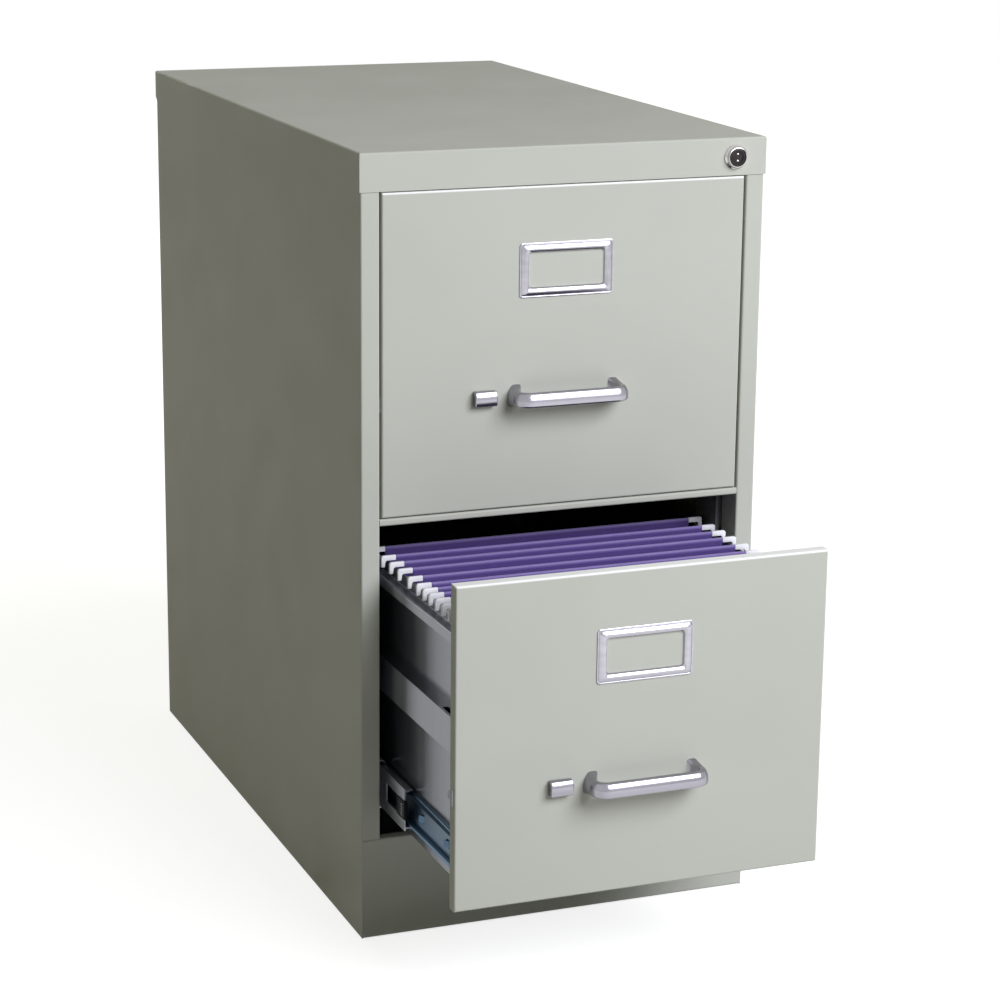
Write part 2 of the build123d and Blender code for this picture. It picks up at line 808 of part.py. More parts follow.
def latch_spring():
    """Zigzag spring of flat wire between the bolt and the fixed lug."""
    start = spring_room()[0][0]
    end = spring_room()[0][1] - spring_lug - slot_clearance
    step = (end - start) / spring_turns
    swing = spring_room_height / 2 - spring_end_gap
    path = [(start, handle_height + swing)]
    for i in range(spring_turns):
        path.append((start + (i + 0.5) * step, handle_height + (swing if i % 2 == 0 else -swing)))
        path.append((start + (i + 0.5) * step, handle_height + (-swing if i % 2 == 0 else swing)))
    path.append((end, path[-1][1]))
    y = front + drawer_sheet + bolt_offset
    return run_y(folded(path, spring_sheet, 0.0), (y + spring_side_gap, y + bolt_thickness - spring_side_gap))


# Lock

def bar_front():
    """Front face of the lock bar, just behind the stile's return."""
    return front + stile_return + bar_behind_stile


def bar_back():
    """Back face of the lock bar."""
    return bar_front() + bar_sheet


def lock_barrel():
    """Housing of the lock with its bezel."""
    face = front - case_sheet
    bezel = rod(bezel_radius, (face - bezel_thickness, face), lock_x, lock_z)
    bezel = chamfer(bezel.edges().group_by(Axis.Y)[0], bezel_thickness * 0.6)
    body = rod(barrel_radius, (face, face + barrel_length), lock_x, lock_z)
    bore = rod(plug_radius + running, (face - bezel_thickness - 1, face + barrel_length + 1), lock_x, lock_z)
    return bezel + body - bore


def lock_nut():
    """Nut that holds the lock's housing against the rail behind the cap."""
    start = front + case_sheet
    hexagon = Rot(0, 0, 30) * RegularPolygon(nut_across / 2, 6, major_radius=False)
    nut = hexagon - Circle(barrel_radius + running)
    return Pos(lock_x, 0, lock_z) * run_y(nut, (start, start + nut_thickness))


def plug_back():
    """Back end of the lock's plug."""
    return front - case_sheet + barrel_length + plug_behind_barrel


def lock_plug():
    """Plug of the lock, with the key slot upright."""
    face = front - case_sheet - bezel_thickness
    plug = rod(plug_radius, (face + plug_proud, plug_back()), lock_x, lock_z)
    half_width = key_slot_width / 2
    half_height = key_slot_height / 2
    slot = block((lock_x - half_width, lock_x + half_width), (face - 1, face + key_slot_depth),
                 (lock_z - half_height, lock_z + half_height))
    return plug - slot


def pin_offset():
    """How far the cam's pin stands above and beside the plug's axis when unlocked."""
    return lock_travel / 2


def lock_cam():
    """Cam on the back of the plug. Its pin drives the lock bar."""
    offset = pin_offset()
    hub = RegularPolygon(plug_radius - 0.5, fastener_sides)
    end = Pos(offset, offset) * RegularPolygon(cam_pin_radius + cam_rim, fastener_sides)
    link = make_hull(hub.edges() + end.edges())
    plate = Pos(lock_x, 0, lock_z) * run_y(link, (plug_back(), plug_back() + cam_plate))
    pin_end = bar_back() + cam_pin_end
    return plate + rod(cam_pin_radius, (plug_back() + cam_plate, pin_end), lock_x + offset, lock_z + offset)


def lock_bar():
    """Bar behind the right stile: an arm that the cam moves, and a lug for each drawer."""
    y = (bar_front(), bar_back())
    pin_z = lock_z + pin_offset()
    low = lower_z + lug_height_in_drawer - bar_below_lug
    top = pin_z + arm_half_height
    strip_body = block((bar_inner, bar_outer), y, (low, top))
    arm = block((lock_x - arm_end, bar_inner + 1), y, (pin_z - arm_half_height, top))
    half = cam_pin_radius + cam_clearance
    reach = pin_offset() * 2 ** 0.5
    slot_x = (lock_x + pin_offset() - half, lock_x + reach + half)
    slot = block(slot_x, (y[0] - 1, y[1] + 1), (pin_z - half, pin_z + half))
    bar = strip_body + arm - slot
    for bottom in (lower_z, upper_z):
        z = bottom + lug_height_in_drawer
        bar = bar + block((lug_tip, bar_inner + 1), y, (z, z + lug_height))
    return bar


def lock_bar_guides():
    """Clips on the right front upright that the lock bar slides in."""
    post_leg = front_post_start() - case_sheet
    x = (bar_inner - slot_clearance - clip_wall, bar_outer + slot_clearance + clip_wall)
    clips = []
    for z in (lower_z + lug_height_in_drawer + clip_above_lug, upper_z + lug_height_in_drawer - clip_below_lug):
        body = block(x, (bar_front() - clip_wall, post_leg), (z, z + clip_height))
        tunnel_x = (bar_inner - slot_clearance, bar_outer + slot_clearance)
        tunnel_y = (bar_front() - slot_clearance, bar_back() + slot_clearance)
        tunnel = block(tunnel_x, tunnel_y, (z - 1, z + clip_height + 1))
        clips.append(body - tunnel)
    return group(*clips)


# Hanging folders

def folder(back_rod, front_rod):
    """Folder: one sheet hung in a V from two rods, with a hem round each."""
    y0 = front + back_rod
    y1 = front + front_rod
    middle = (y0 + y1) / 2
    top = folder_top
    half = folder_fold_width / 2
    path = [(y1, top - folder_hem_height), (middle - half, folder_bottom), (middle + half, folder_bottom),
            (y0, top - folder_hem_height)]
    section = folded(path[::-1], folder_sheet, 0.0)
    for y in (y0, y1):
        hem = Pos(y, top - folder_hem_height / 2) * Rectangle(folder_hem_width, folder_hem_height)
        pocket = Rectangle(rod_width + 2 * race_gap, rod_height + 2 * race_gap)
        pocket = Pos(y, top - folder_hem_height / 2 - race_gap) * pocket
        section = section + hem - pocket
    return run_x(section, (-folder_half_width, folder_half_width))


def hanger(y_from_front):
    """Rod of a folder with a plastic hook at each end that sits on the drawer's rail."""
    y = front + y_from_front
    middle = folder_top - folder_hem_height / 2
    bar = block((-folder_half_width - 1, folder_half_width + 1), (y - rod_width / 2, y + rod_width / 2),
                (middle - rod_height / 2, middle + rod_height / 2))
    seat = hanging_rail_top
    rail = drawer_half_width
    outline = make_face(Polyline(
        (folder_half_width + slot_clearance, folder_top), (hook_reach - hook_corner, folder_top),
        (hook_reach, folder_top - hook_corner), (hook_reach, seat - hook_lug_drop),
        (rail + hook_notch / 2, seat - hook_lug_drop), (rail + hook_notch / 2, seat),
        (rail - hook_notch / 2, seat), (rail - hook_notch / 2, seat - hook_depth),
        (folder_half_width + slot_clearance, seat - hook_depth),
        close=True))
    hook = run_y(outline, (y - hook_thickness / 2, y + hook_thickness / 2))
    return bar + hook + mirrored(hook)


# Writing every piece

write("side_panel_left", side_panel())
write("side_panel_right", mirrored(side_panel()))
write("back_panel", back_panel())
write("top_cover", top_cover())
write("kick_plate", kick_plate())
write("front_rail", channel_rail(rail_bottom, rail_top, rail_depth, bend))
write("top_rail", channel_rail(cap_bottom + front_gap, roof, top_rail_depth, 0.0) - lock_hole())
write("base_brace", base_brace())

upper_slide_z = upper_z + slide_height
lower_slide_z = lower_z + slide_height


def slotted_posts(start):
    """Both uprights that begin at one place, with the slots for the hooks of both slides."""
    post = mirrored(slide_post(start))
    for z in (upper_slide_z, lower_slide_z):
        post = post - Pos(0, 0, z) * slide_hook_slot(start + post_width / 2)
    return pair(post)


write("front_slide_posts", slotted_posts(front_post_start()))
write("rear_slide_posts", slotted_posts(rear_post_start()))

write("lock_barrel", lock_barrel())
write("lock_nut", lock_nut())
write("lock_plug", lock_plug())
write("lock_cam", lock_cam())
write("lock_bar", lock_bar())
write("lock_bar_guides", lock_bar_guides())

side_left = drawer_side()
handle_screws = [screw(x, handle_height) for x in (-handle_screw_x(), handle_screw_x())]
drawer_parts = {
    "front": drawer_front(),
    "liner": liner(),
    "side_left": side_left,
    "side_right": mirrored(side_left),
    "lock_catch": lock_catch(),
    "floor": drawer_floor(),
    "back": drawer_back(),
    "label_holder": label_holder(),
    "handle": handle(),
    "screws": group(pair(side_screw()), *handle_screws),
    "latch_button": latch_button(),
    "latch_bolt": latch_bolt(),
    "latch_guides": latch_guides(),
    "latch_spring": latch_spring(),
    "slide_drawer_members": Pos(0, 0, slide_height) * pair(drawer_member()),
}
middle_parts = {
    "slide_middle_members": Pos(0, 0, slide_height) * pair(middle_member()),
    "slide_bumpers": Pos(0, 0, slide_height) * pair(bumper()),
}
outer_balls = group(*cage_balls(outer_cage_setback, outer_row_u, outer_row_v))
inner_balls = group(*cage_balls(inner_cage_setback, inner_row_u, inner_row_v))
outer_parts = {"slide_outer_cages": Pos(0, 0, slide_height) * pair(group(outer_cage(), outer_balls))}
inner_parts = {"slide_inner_cages": Pos(0, 0, slide_height) * pair(group(inner_cage(), inner_balls))}
case_parts = {"slide_case_members": Pos(0, 0, slide_height) * pair(case_member())}

# What moves with a drawer moves by its own share of how far the drawer is drawn out
shares = [(drawer_parts, 1.0), (middle_parts, travel_share_middle), (outer_parts, travel_share_outer_cage),
          (inner_parts, travel_share_inner_cage), (case_parts, 0.0)]
for drawer, bottom, drawn_out in (("upper", upper_z, 0.0), ("lower", lower_z, lower_open)):
    for parts, share in shares:
        place = Pos(0, -drawn_out * share, bottom)
        for name, shape in parts.items():
            write(drawer + "_" + name, place * shape)

lower_place = Pos(0, -lower_open, lower_z)
rod_pairs = zip(folder_rods[0::2], folder_rods[1::2])
write("folders", lower_place * group(*[folder(a, b) for a, b in rod_pairs]))
write("folder_hangers", lower_place * group(*[hanger(y) for y in folder_rods]))
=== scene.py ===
import math

import bmesh
import bpy
from mathutils import Matrix, Vector


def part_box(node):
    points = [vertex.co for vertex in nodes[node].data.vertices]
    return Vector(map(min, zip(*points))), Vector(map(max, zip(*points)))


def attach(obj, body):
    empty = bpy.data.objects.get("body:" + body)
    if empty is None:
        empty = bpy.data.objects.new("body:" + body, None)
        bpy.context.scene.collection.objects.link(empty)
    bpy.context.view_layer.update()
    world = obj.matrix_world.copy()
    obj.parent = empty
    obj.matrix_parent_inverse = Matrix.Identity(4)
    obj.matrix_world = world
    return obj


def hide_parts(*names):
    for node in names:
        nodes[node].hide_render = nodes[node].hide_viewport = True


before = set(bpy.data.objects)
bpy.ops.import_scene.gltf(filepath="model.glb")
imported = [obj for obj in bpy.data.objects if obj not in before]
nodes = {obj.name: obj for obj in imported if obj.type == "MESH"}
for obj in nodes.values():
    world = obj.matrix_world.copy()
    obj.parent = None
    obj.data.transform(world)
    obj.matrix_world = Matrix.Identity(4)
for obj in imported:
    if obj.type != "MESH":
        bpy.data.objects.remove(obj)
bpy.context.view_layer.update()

scene = bpy.context.scene
MM = 0.001


# Camera at the photograph's viewing angle

def set_camera():
    right = Vector((0.931157, -0.364483, 0.009954))
    down = Vector((-0.08364, -0.240091, -0.96714))
    ahead = Vector((0.354896, 0.899727, -0.254048))
    lens = bpy.data.cameras.new("camera")
    lens.sensor_width = 36.0
    lens.lens = 101.63
    lens.clip_start = 0.05
    lens.clip_end = 50.0
    camera = bpy.data.objects.new("camera", lens)
    scene.collection.objects.link(camera)
    turn = Matrix((right, -down, -ahead)).transposed().to_4x4()
    camera.matrix_world = Matrix.Translation((-0.9459, -2.5813, 1.0329)) @ turn
    scene.camera = camera


set_camera()


# Materials

NOISE_ROUGHNESS = 0.55
# the colour sockets of a Mix node, which share their names with its other sockets
MIX_UNDER, MIX_OVER, MIX_RESULT = 6, 7, 2
PUTTY = (0.520, 0.527, 0.455)
# painted highlight: a pale band laid along the top edges of the drawer fronts, where the bend would catch the
# lamp
EDGE_HIGHLIGHT_COLOUR = (0.95, 0.95, 0.90)
EDGE_HIGHLIGHT_DEPTH = 2.4 * MM
# painted shade: a darker copy of the satin chrome for the handles and latch buttons, standing in for darker
# reflections
SHADED_HANDLE_CHROME = (0.345, 0.335, 0.375)


class Finish:
    """A material and the few nodes that its surface is mixed from."""

    def __init__(self, name, colour, roughness, metallic=0.0):
        self.material = bpy.data.materials.new(name)
        self.material.use_nodes = True
        self.nodes = self.material.node_tree.nodes
        self.links = self.material.node_tree.links
        self.shader = self.nodes["Principled BSDF"]
        self.shader.inputs["Base Color"].default_value = (*colour, 1.0)
        self.shader.inputs["Roughness"].default_value = roughness
        self.shader.inputs["Metallic"].default_value = metallic
        self.place = self.nodes.new("ShaderNodeTexCoord").outputs["Object"]

    def height(self):
        """Height above the floor, which the object's own coordinates give."""
        node = self.nodes.new("ShaderNodeSeparateXYZ")
        self.links.new(self.place, node.inputs[0])
        return node.outputs["Z"]

    def maths(self, operation, first, second):
        node = self.nodes.new("ShaderNodeMath")
        node.operation = operation
        self.links.new(first, node.inputs[0])
        self.links.new(second, node.inputs[1])
        return node.outputs[0]

    def stretched(self, scale):
        node = self.nodes.new("ShaderNodeMapping")
        node.inputs["Scale"].default_value = scale
        self.links.new(self.place, node.inputs["Vector"])
        return node.outputs["Vector"]

    def noise(self, scale, detail=3.0, stretch=(1.0, 1.0, 1.0)):
        node = self.nodes.new("ShaderNodeTexNoise")
        node.inputs["Scale"].default_value = scale
        node.inputs["Detail"].default_value = detail
        node.inputs["Roughness"].default_value = NOISE_ROUGHNESS
        self.links.new(self.stretched(stretch), node.inputs["Vector"])
        return node.outputs["Fac"]

    def spread(self, value, low, high, start=0.3, end=0.7):
        node = self.nodes.new("ShaderNodeMapRange")
        node.inputs["From Min"].default_value = start
        node.inputs["From Max"].default_value = end
        node.inputs["To Min"].default_value = low
        node.inputs["To Max"].default_value = high
        self.links.new(value, node.inputs["Value"])
        return node.outputs["Result"]

    def blended(self, value, first, second, start=0.35, end=0.65):
        node = self.nodes.new("ShaderNodeValToRGB")
        node.color_ramp.elements[0].position = start
        node.color_ramp.elements[0].color = (*first, 1.0)
        node.color_ramp.elements[1].position = end
        node.color_ramp.elements[1].color = (*second, 1.0)
        self.links.new(value, node.inputs["Fac"])
        return node.outputs["Color"]

    def over(self, factor, under, colour):
        """Lays one colour over another by a factor."""
        node = self.nodes.new("ShaderNodeMix")
        node.data_type = "RGBA"
        self.links.new(factor, node.inputs["Factor"])
        self.links.new(under, node.inputs[MIX_UNDER])
        node.inputs[MIX_OVER].default_value = (*colour, 1.0)
        return node.outputs[MIX_RESULT]

    def coloured(self, value):
        self.links.new(value, self.shader.inputs["Base Color"])

    def rough(self, value):
        self.links.new(value, self.shader.inputs["Roughness"])

    def embossed(self, value, distance, strength=1.0):
        node = self.nodes.new("ShaderNodeBump")
        node.inputs["Strength"].default_value = strength
        node.inputs["Distance"].default_value = distance
        self.links.new(value, node.inputs["Height"])
        if self.shader.inputs["Normal"].is_linked:
            earlier = self.shader.inputs["Normal"].links[0].from_socket
            self.links.new(earlier, node.inputs["Normal"])
        self.links.new(node.outputs["Normal"], self.shader.inputs["Normal"])


def shade(colour, factor):
    return tuple(min(1.0, c * factor) for c in colour)


def baked_enamel(name="baked_enamel", highlight_above=None):
    """Paint of the case and the fronts. Where a height is given, a pale painted highlight is laid on the paint
    above it.
    """
    finish = Finish(name, PUTTY, 0.35)
    finish.shader.inputs["Specular IOR Level"].default_value = 0.04
    clouds = finish.noise(7.0, 2.0)
    base = finish.blended(clouds, shade(PUTTY, 0.985), shade(PUTTY, 1.015))
    if highlight_above:
        # painted highlight along the top edge of the drawer front
        edge_highlight = finish.spread(finish.height(), 0.0, 0.9, highlight_above, highlight_above + EDGE_HIGHLIGHT_DEPTH / 2)
        base = finish.over(edge_highlight, base, EDGE_HIGHLIGHT_COLOUR)
    finish.coloured(base)
    finish.rough(finish.spread(finish.noise(16.0, 2.0), 0.42, 0.48))
    finish.embossed(finish.noise(420.0, 2.0), 0.00006, 0.5)
    finish.embossed(finish.noise(2.2, 1.0), 0.004, 0.05)
    return finish.material


def inner_enamel():
    grey = (0.26, 0.265, 0.262)
    finish = Finish("inner_enamel", grey, 0.42)
    finish.coloured(finish.blended(finish.noise(9.0, 3.0), shade(grey, 0.92), shade(grey, 1.06)))
    finish.rough(finish.spread(finish.noise(60.0, 3.0), 0.38, 0.5))
    finish.embossed(finish.noise(500.0, 2.0), 0.00006, 0.5)
    return finish.material


def zinc_sheet():
    zinc = (0.185, 0.197, 0.225)
    finish = Finish("zinc_sheet", zinc, 0.28, 0.85)
    streaks = finish.noise(60.0, 4.0, (0.35, 1.0, 0.05))
    clouds = finish.noise(5.0, 3.0)
    base = finish.blended(streaks, shade(zinc, 0.84), shade(zinc, 1.1))
    finish.coloured(finish.over(finish.spread(clouds, 0.0, 0.4), base, shade(zinc, 0.68)))
    finish.rough(finish.spread(streaks, 0.20, 0.26))
    finish.embossed(finish.noise(260.0, 3.0, (0.5, 1.0, 0.12)), 0.00008, 0.6)
    return finish.material


def slide_zinc():
    zinc = (0.36, 0.37, 0.405)
    finish = Finish("slide_zinc", zinc, 0.3, 0.9)
    streaks = finish.noise(90.0, 3.0, (0.6, 0.04, 1.0))
    finish.coloured(finish.blended(streaks, shade(zinc, 0.85), shade(zinc, 1.08)))
    finish.rough(finish.spread(streaks, 0.29, 0.42))
    finish.embossed(finish.noise(700.0, 2.0, (1.0, 0.1, 1.0)), 0.00004, 0.5)
    return finish.material


def blued_zinc():
    zinc = (0.085, 0.145, 0.215)
    finish = Finish("blued_zinc", zinc, 0.3, 0.9)
    streaks = finish.noise(70.0, 3.0, (0.6, 0.05, 1.0))
    finish.coloured(finish.blended(streaks, shade(zinc, 0.78), shade(zinc, 1.15)))
    finish.rough(finish.spread(streaks, 0.29, 0.4))
    finish.embossed(finish.noise(700.0, 2.0, (1.0, 0.1, 1.0)), 0.00004, 0.5)
    return finish.material


def satin_chrome(name="satin_chrome", chrome=(0.44, 0.43, 0.475)):
    finish = Finish(name, chrome, 0.24, 1.0)
    brushed = finish.noise(60.0, 5.0, (0.12, 3.0, 3.0))
    finish.coloured(finish.blended(brushed, shade(chrome, 0.9), shade(chrome, 1.04)))
    finish.rough(finish.spread(brushed, 0.18, 0.26))
    finish.embossed(finish.noise(420.0, 3.0, (0.06, 1.0, 1.0)), 0.00003, 0.7)
    return finish.material


def lock_nickel():
    nickel = (0.56, 0.55, 0.54)
    finish = Finish("lock_nickel", nickel, 0.18, 1.0)
    finish.coloured(finish.blended(finish.noise(160.0, 3.0), shade(nickel, 0.88), shade(nickel, 1.05)))
    finish.rough(finish.spread(finish.noise(300.0, 3.0), 0.14, 0.25))
    finish.embossed(finish.noise(1400.0, 2.0), 0.00003, 0.4)
    return finish.material


def dark_plug():
    dark = (0.034, 0.030, 0.030)
    finish = Finish("plug_metal", dark, 0.3, 0.9)
    finish.coloured(finish.blended(finish.noise(240.0, 3.0), shade(dark, 0.8), shade(dark, 1.1)))
    finish.rough(finish.spread(finish.noise(500.0, 3.0), 0.29, 0.4))
    return finish.material


def black_plastic():
    black = (0.008, 0.008, 0.009)
    finish = Finish("black_plastic", black, 0.45)
    finish.shader.inputs["Specular IOR Level"].default_value = 0.1
    finish.coloured(finish.blended(finish.noise(220.0, 3.0), shade(black, 0.8), shade(black, 1.35)))
    finish.rough(finish.spread(finish.noise(400.0, 2.0), 0.36, 0.52))
    finish.embossed(finish.noise(1500.0, 2.0), 0.00005, 0.6)
    return finish.material


def white_plastic():
    white = (0.88, 0.88, 0.89)
    finish = Finish("white_plastic", white, 0.32)
    finish.shader.inputs["Subsurface Weight"].default_value = 0.08
    finish.shader.inputs["Subsurface Radius"].default_value = (0.004, 0.004, 0.004)
    finish.coloured(finish.blended(finish.noise(150.0, 2.0), shade(white, 0.95), shade(white, 1.03)))
    finish.rough(finish.spread(finish.noise(300.0, 2.0), 0.3, 0.4))
    finish.embossed(finish.noise(900.0, 2.0), 0.00004, 0.5)
    return finish.material


def folder_card():
    purple = (0.056, 0.027, 0.172)
    top_highlight_purple = (0.235, 0.175, 0.43)
    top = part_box("folders")[1].z
    finish = Finish("folder_card", purple, 0.62)
    fibres = finish.noise(900.0, 4.0, (0.25, 1.0, 1.0))
    clouds = finish.noise(14.0, 3.0)
    base = finish.blended(fibres, shade(purple, 0.84), shade(purple, 1.16))
    base = finish.over(finish.spread(clouds, 0.0, 0.3), base, shade(purple, 1.25))
    # painted highlight: the card is made paler towards the top of each folder, where its rounded fold would
    # catch the light
    painted_top_highlight = finish.spread(finish.height(), 0.0, 0.85, top - 3.2 * MM, top - 0.6 * MM)
    finish.coloured(finish.over(painted_top_highlight, base, top_highlight_purple))
    finish.rough(finish.spread(fibres, 0.55, 0.75))
    finish.embossed(fibres, 0.00006, 0.6)
    finish.shader.inputs["Sheen Weight"].default_value = 0.25
    finish.shader.inputs["Sheen Roughness"].default_value = 0.5
    return finish.material


def spring_wire():
    steel = (0.36, 0.36, 0.37)
    finish = Finish("spring_wire", steel, 0.3, 1.0)
    finish.coloured(finish.blended(finish.noise(400.0, 3.0), shade(steel, 0.8), shade(steel, 1.15)))
    finish.rough(finish.spread(finish.noise(800.0, 2.0), 0.29, 0.4))
    return finish.material


enamel = baked_enamel()
highlighted_enamel = {}
# each drawer front gets its own enamel, with a painted highlight along its top edge
for drawer in ("upper", "lower"):
    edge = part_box(drawer + "_front")[1].z - EDGE_HIGHLIGHT_DEPTH
    highlighted_enamel[drawer] = baked_enamel(drawer + "_front_enamel", edge)
inside_enamel = inner_enamel()
zinc = zinc_sheet()
slide_steel = slide_zinc()
member_steel = blued_zinc()
chrome = satin_chrome()
# the handles' and latches' chrome, darkened as painted shade
handle_chrome = satin_chrome("handle_chrome", SHADED_HANDLE_CHROME)
nickel = lock_nickel()
plug_metal = dark_plug()
black = black_plastic()
white = white_plastic()
card = folder_card()
wire = spring_wire()

finish_of = {
    "side_panel_left": enamel, "side_panel_right": enamel, "back_panel": enamel, "top_cover": enamel,
    "kick_plate": enamel, "front_rail": enamel, "top_rail": enamel, "base_brace": inside_enamel,
    "front_slide_posts": inside_enamel, "rear_slide_posts": inside_enamel, "lock_barrel": nickel,
    "lock_nut": nickel, "lock_plug": plug_metal, "lock_cam": slide_steel, "lock_bar": slide_steel,
    "lock_bar_guides": black, "folders": card, "folder_hangers": white,
}
drawer_finishes = {
    "liner": zinc, "side_left": zinc, "side_right": zinc, "floor": zinc, "back": zinc,
    "label_holder": chrome, "handle": chrome, "screws": slide_steel, "latch_button": chrome,
    "latch_bolt": slide_steel, "latch_guides": black, "latch_spring": wire, "lock_catch": slide_steel,
    "slide_drawer_members": member_steel, "slide_middle_members": slide_steel, "slide_bumpers": black,
    "slide_outer_cages": slide_steel, "slide_inner_cages": slide_steel, "slide_case_members": slide_steel,
}
for drawer in ("upper", "lower"):
    for name, material in drawer_finishes.items():
        finish_of[drawer + "_" + name] = material
    finish_of[drawer + "_front"] = highlighted_enamel[drawer]
for name, node in nodes.items():
    node.data.materials.clear()
    node.data.materials.append(finish_of[name])


# Shapes

TOUCH = 0.00001
ROUND_STEPS = 64


def made(name, shape, material, body, node=None, smooth=35.0):
    """Turns a bmesh into a finished piece that rides on a body."""
    bmesh.ops.recalc_face_normals(shape, faces=shape.faces)
    mesh = bpy.data.meshes.new(name)
    shape.to_mesh(mesh)
    shape.free()
    piece = bpy.data.objects.new(name, mesh)
    scene.collection.objects.link(piece)
    mesh.materials.append(material)
    mesh.shade_smooth()
    mesh.set_sharp_from_angle(angle=math.radians(smooth))
    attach(piece, body)
    if node:
        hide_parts(node)


def mirrored(shape, merge_dist=-1.0):
    """Adds the shape's mirror image on the other side of the cabinet's middle."""
    everything = shape.verts[:] + shape.edges[:] + shape.faces[:]
    bmesh.ops.mirror(shape, geom=everything, axis="X", merge_dist=merge_dist)


def added(shape, new, name):
    """Adds a second bmesh to a shape and frees it."""
    mesh = bpy.data.meshes.new(name)
    new.to_mesh(mesh)
    new.free()
    shape.from_mesh(mesh)
    bpy.data.meshes.remove(mesh)


def points_of(geometry):
    return [item for item in geometry if isinstance(item, bmesh.types.BMVert)]


def edges_of(geometry):
    return [item for item in geometry if isinstance(item, bmesh.types.BMEdge)]


def extended(shape, faces, by):
    """Extrudes faces and moves their end."""
    grown = bmesh.ops.extrude_face_region(shape, geom=faces)["geom"]
    bmesh.ops.translate(shape, verts=points_of(grown), vec=by)
    return [item for item in grown if isinstance(item, bmesh.types.BMFace)]


def rounded_block(shape, low, high, radius, segments=4):
    """Adds a block between two corners, with all its edges rounded."""
    size = [h - l for l, h in zip(low, high)]
    centre = [(l + h) / 2 for l, h in zip(low, high)]
    place = Matrix.Translation(centre) @ Matrix.Diagonal((*size, 1.0))
    corners = bmesh.ops.create_cube(shape, size=1.0, matrix=place)["verts"]
    edges = list({edge for corner in corners for edge in corner.link_edges})
    bmesh.ops.bevel(shape, geom=edges, offset=radius, segments=segments, profile=0.5, affect="EDGES",
                    material=-1, clamp_overlap=True)


def turned(shape, profile, centre):
    """Spins a profile of (radius, y) points round an axis along Y."""
    points = [shape.verts.new((centre[0] + radius, y, centre[2])) for radius, y in profile]
    edges = [shape.edges.new(pair) for pair in zip(points, points[1:])]
    bmesh.ops.spin(shape, geom=points + edges, cent=centre, axis=(0, 1, 0), angle=math.tau, steps=ROUND_STEPS,
                   use_merge=True)
    bmesh.ops.remove_doubles(shape, verts=shape.verts, dist=TOUCH)


# Handles

BAR_HEIGHT = 13.0 * MM
BAR_THICKNESS = 8.0 * MM
BAR_CORNER = 11.0 * MM
FOOT_WIDTH = 13.0 * MM
BROW_RISE = 1.3 * MM
BROW_SETBACK = 2.7 * MM
BAR_STEPS, CORNER_STEPS, ARM_STEPS = 6, 14, 9
ARM_FLARE = 1.8


def bar_section(shape, middle, height):
    """Draws the bar's section: a brow that leans back over an upright face, with eased corners."""
    turn = Matrix.Rotation(math.radians(90), 4, "Y")
    place = Matrix.Translation((0, middle, height)) @ Matrix.Diagonal((1, BAR_THICKNESS, BAR_HEIGHT, 1)) @ turn
    bmesh.ops.create_grid(shape, x_segments=1, y_segments=1, size=0.5, matrix=place)
    ahead = [e for e in shape.edges if all(v.co.y < middle for v in e.verts)]
    bmesh.ops.subdivide_edges(shape, edges=ahead, cuts=1)
    brow = [v for v in shape.verts if abs(v.co.z - height) < TOUCH]
    upper = [v for v in shape.verts if v.co.y < middle and v.co.z > height + MM]
    lower = [v for v in shape.verts if v.co.y < middle and v.co.z < height - MM]
    behind = [v for v in shape.verts if v.co.y > middle]
    bmesh.ops.translate(shape, verts=brow, vec=(0, 0, BROW_RISE))
    bmesh.ops.translate(shape, verts=upper, vec=(0, BROW_SETBACK, 0))
    for corners, radius, steps in ((brow, 2.4, 6), (upper, 1.5, 5), (lower, 2.2, 6), (behind, 1.6, 4)):
        bmesh.ops.bevel(shape, geom=corners, offset=radius * MM, segments=steps, profile=0.5,
                        affect="VERTICES", material=-1)


def bow_handle(drawer):
    """Runs the section from the middle of the bar round the corner and out to the flared foot."""
    low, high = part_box(drawer + "_handle")
    height = (low.z + high.z) / 2
    middle = low.y + BAR_THICKNESS / 2
    leg = low.x + BAR_THICKNESS / 2
    shape = bmesh.new()
    bar_section(shape, middle, height)
    end = list(shape.faces)
    for i in range(BAR_STEPS):
        end = extended(shape, end, ((leg + BAR_CORNER) / BAR_STEPS, 0, 0))

    centre = Vector((leg + BAR_CORNER, middle + BAR_CORNER, height))
    bend = Matrix.Rotation(math.radians(-90 / CORNER_STEPS), 3, "Z")
    for i in range(CORNER_STEPS):
        end = extended(shape, end, (0, 0, 0))
        ring = list({v for f in end for v in f.verts})
        bmesh.ops.rotate(shape, verts=ring, cent=centre, matrix=bend)

    run = high.y - middle - BAR_CORNER
    foot_height = high.z - low.z
    before = (1.0, 1.0)
    for i in range(1, ARM_STEPS + 1):
        end = extended(shape, end, (0, run / ARM_STEPS, 0))
        flare = (i / ARM_STEPS) ** ARM_FLARE
        wide = 1.0 + (FOOT_WIDTH / BAR_THICKNESS - 1.0) * flare
        tall = 1.0 + (foot_height / BAR_HEIGHT - 1.0) * flare
        ring = list({v for f in end for v in f.verts})
        bmesh.ops.scale(shape, vec=(wide / before[0], 1, tall / before[1]), verts=ring,
                        space=Matrix.Translation((-low.x, 0, -height)))
        before = (wide, tall)
    mirrored(shape, TOUCH)
    made(drawer + "_bow_handle", shape, handle_chrome, drawer + "_drawer",
         drawer + "_handle", 40.0)


# Label holders

FRAME_CORNER = 3.0 * MM
# millimetres in from the frame's outline, and out from the drawer's front
FRAME_PROFILE = ((0.0, 0.9), (0.25, 1.1), (0.9, 1.15), (1.2, 0.9), (1.5, 1.2), (1.75, 1.8), (2.4, 2.2),
                 (4.3, 3.02), (4.9, 3.26), (5.5, 3.26), (6.1, 3.02), (7.6, 2.38), (8.05, 2.0), (8.3, 1.2),
                 (8.5, 0.6), (8.75, 0.0))


